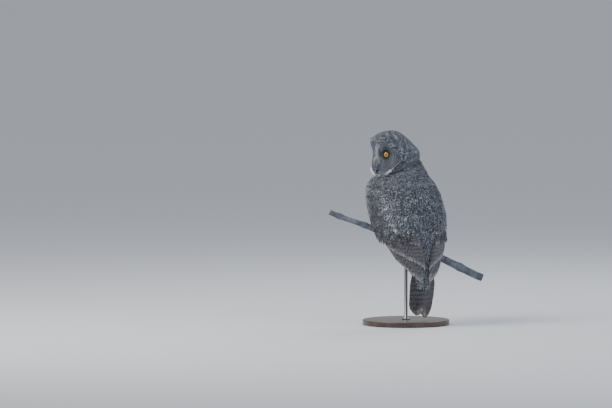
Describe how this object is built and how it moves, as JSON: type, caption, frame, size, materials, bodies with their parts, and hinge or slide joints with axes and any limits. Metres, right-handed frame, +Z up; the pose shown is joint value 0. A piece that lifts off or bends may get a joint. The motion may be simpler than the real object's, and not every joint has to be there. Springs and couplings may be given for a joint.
{
  "type": "owl model",
  "caption": "Life-size museum model of a great grey owl perched upright on a cut branch, looking over its left side, on a round display stand.",
  "frame": {"origin": "centre of the bounding box, at the underside of the stand's base", "axes": "+Z up; the bird's body faces -Y, so its left is +X; its head is turned towards +X"},
  "size_m": [0.5336, 0.3104, 0.6651],
  "materials": {
    "plumage": "matt grey feathers",
    "wing_feather": "matt grey-brown barred feathers",
    "tail_feather": "matt grey-brown barred feathers",
    "down": "matt pale grey down",
    "eye": "polished glass eye",
    "bill": "satin horn",
    "claw": "satin horn",
    "bark": "rough bark",
    "stand_metal": "brushed",
    "stand_wood": "dark satin lacquer"
  },
  "bodies": {
    "root": {"head": "plumage", "neck": "plumage", "torso": "plumage", "wing_left": "wing_feather", "wing_right": "wing_feather", "tail": "tail_feather", "leg_left": "down", "leg_right": "down", "foot_left": "down", "foot_right": "down", "eye_left": "eye", "eye_right": "eye", "bill_upper": "bill", "bill_lower": "bill", "perch_branch": "bark", "stand_rod": "stand_metal", "stand_base": "stand_wood", "claw_left_1": "claw", "claw_left_2": "claw", "claw_left_3": "claw", "claw_left_4": "claw", "claw_right_1": "claw", "claw_right_2": "claw", "claw_right_3": "claw", "claw_right_4": "claw"}
  },
  "joints": []
}
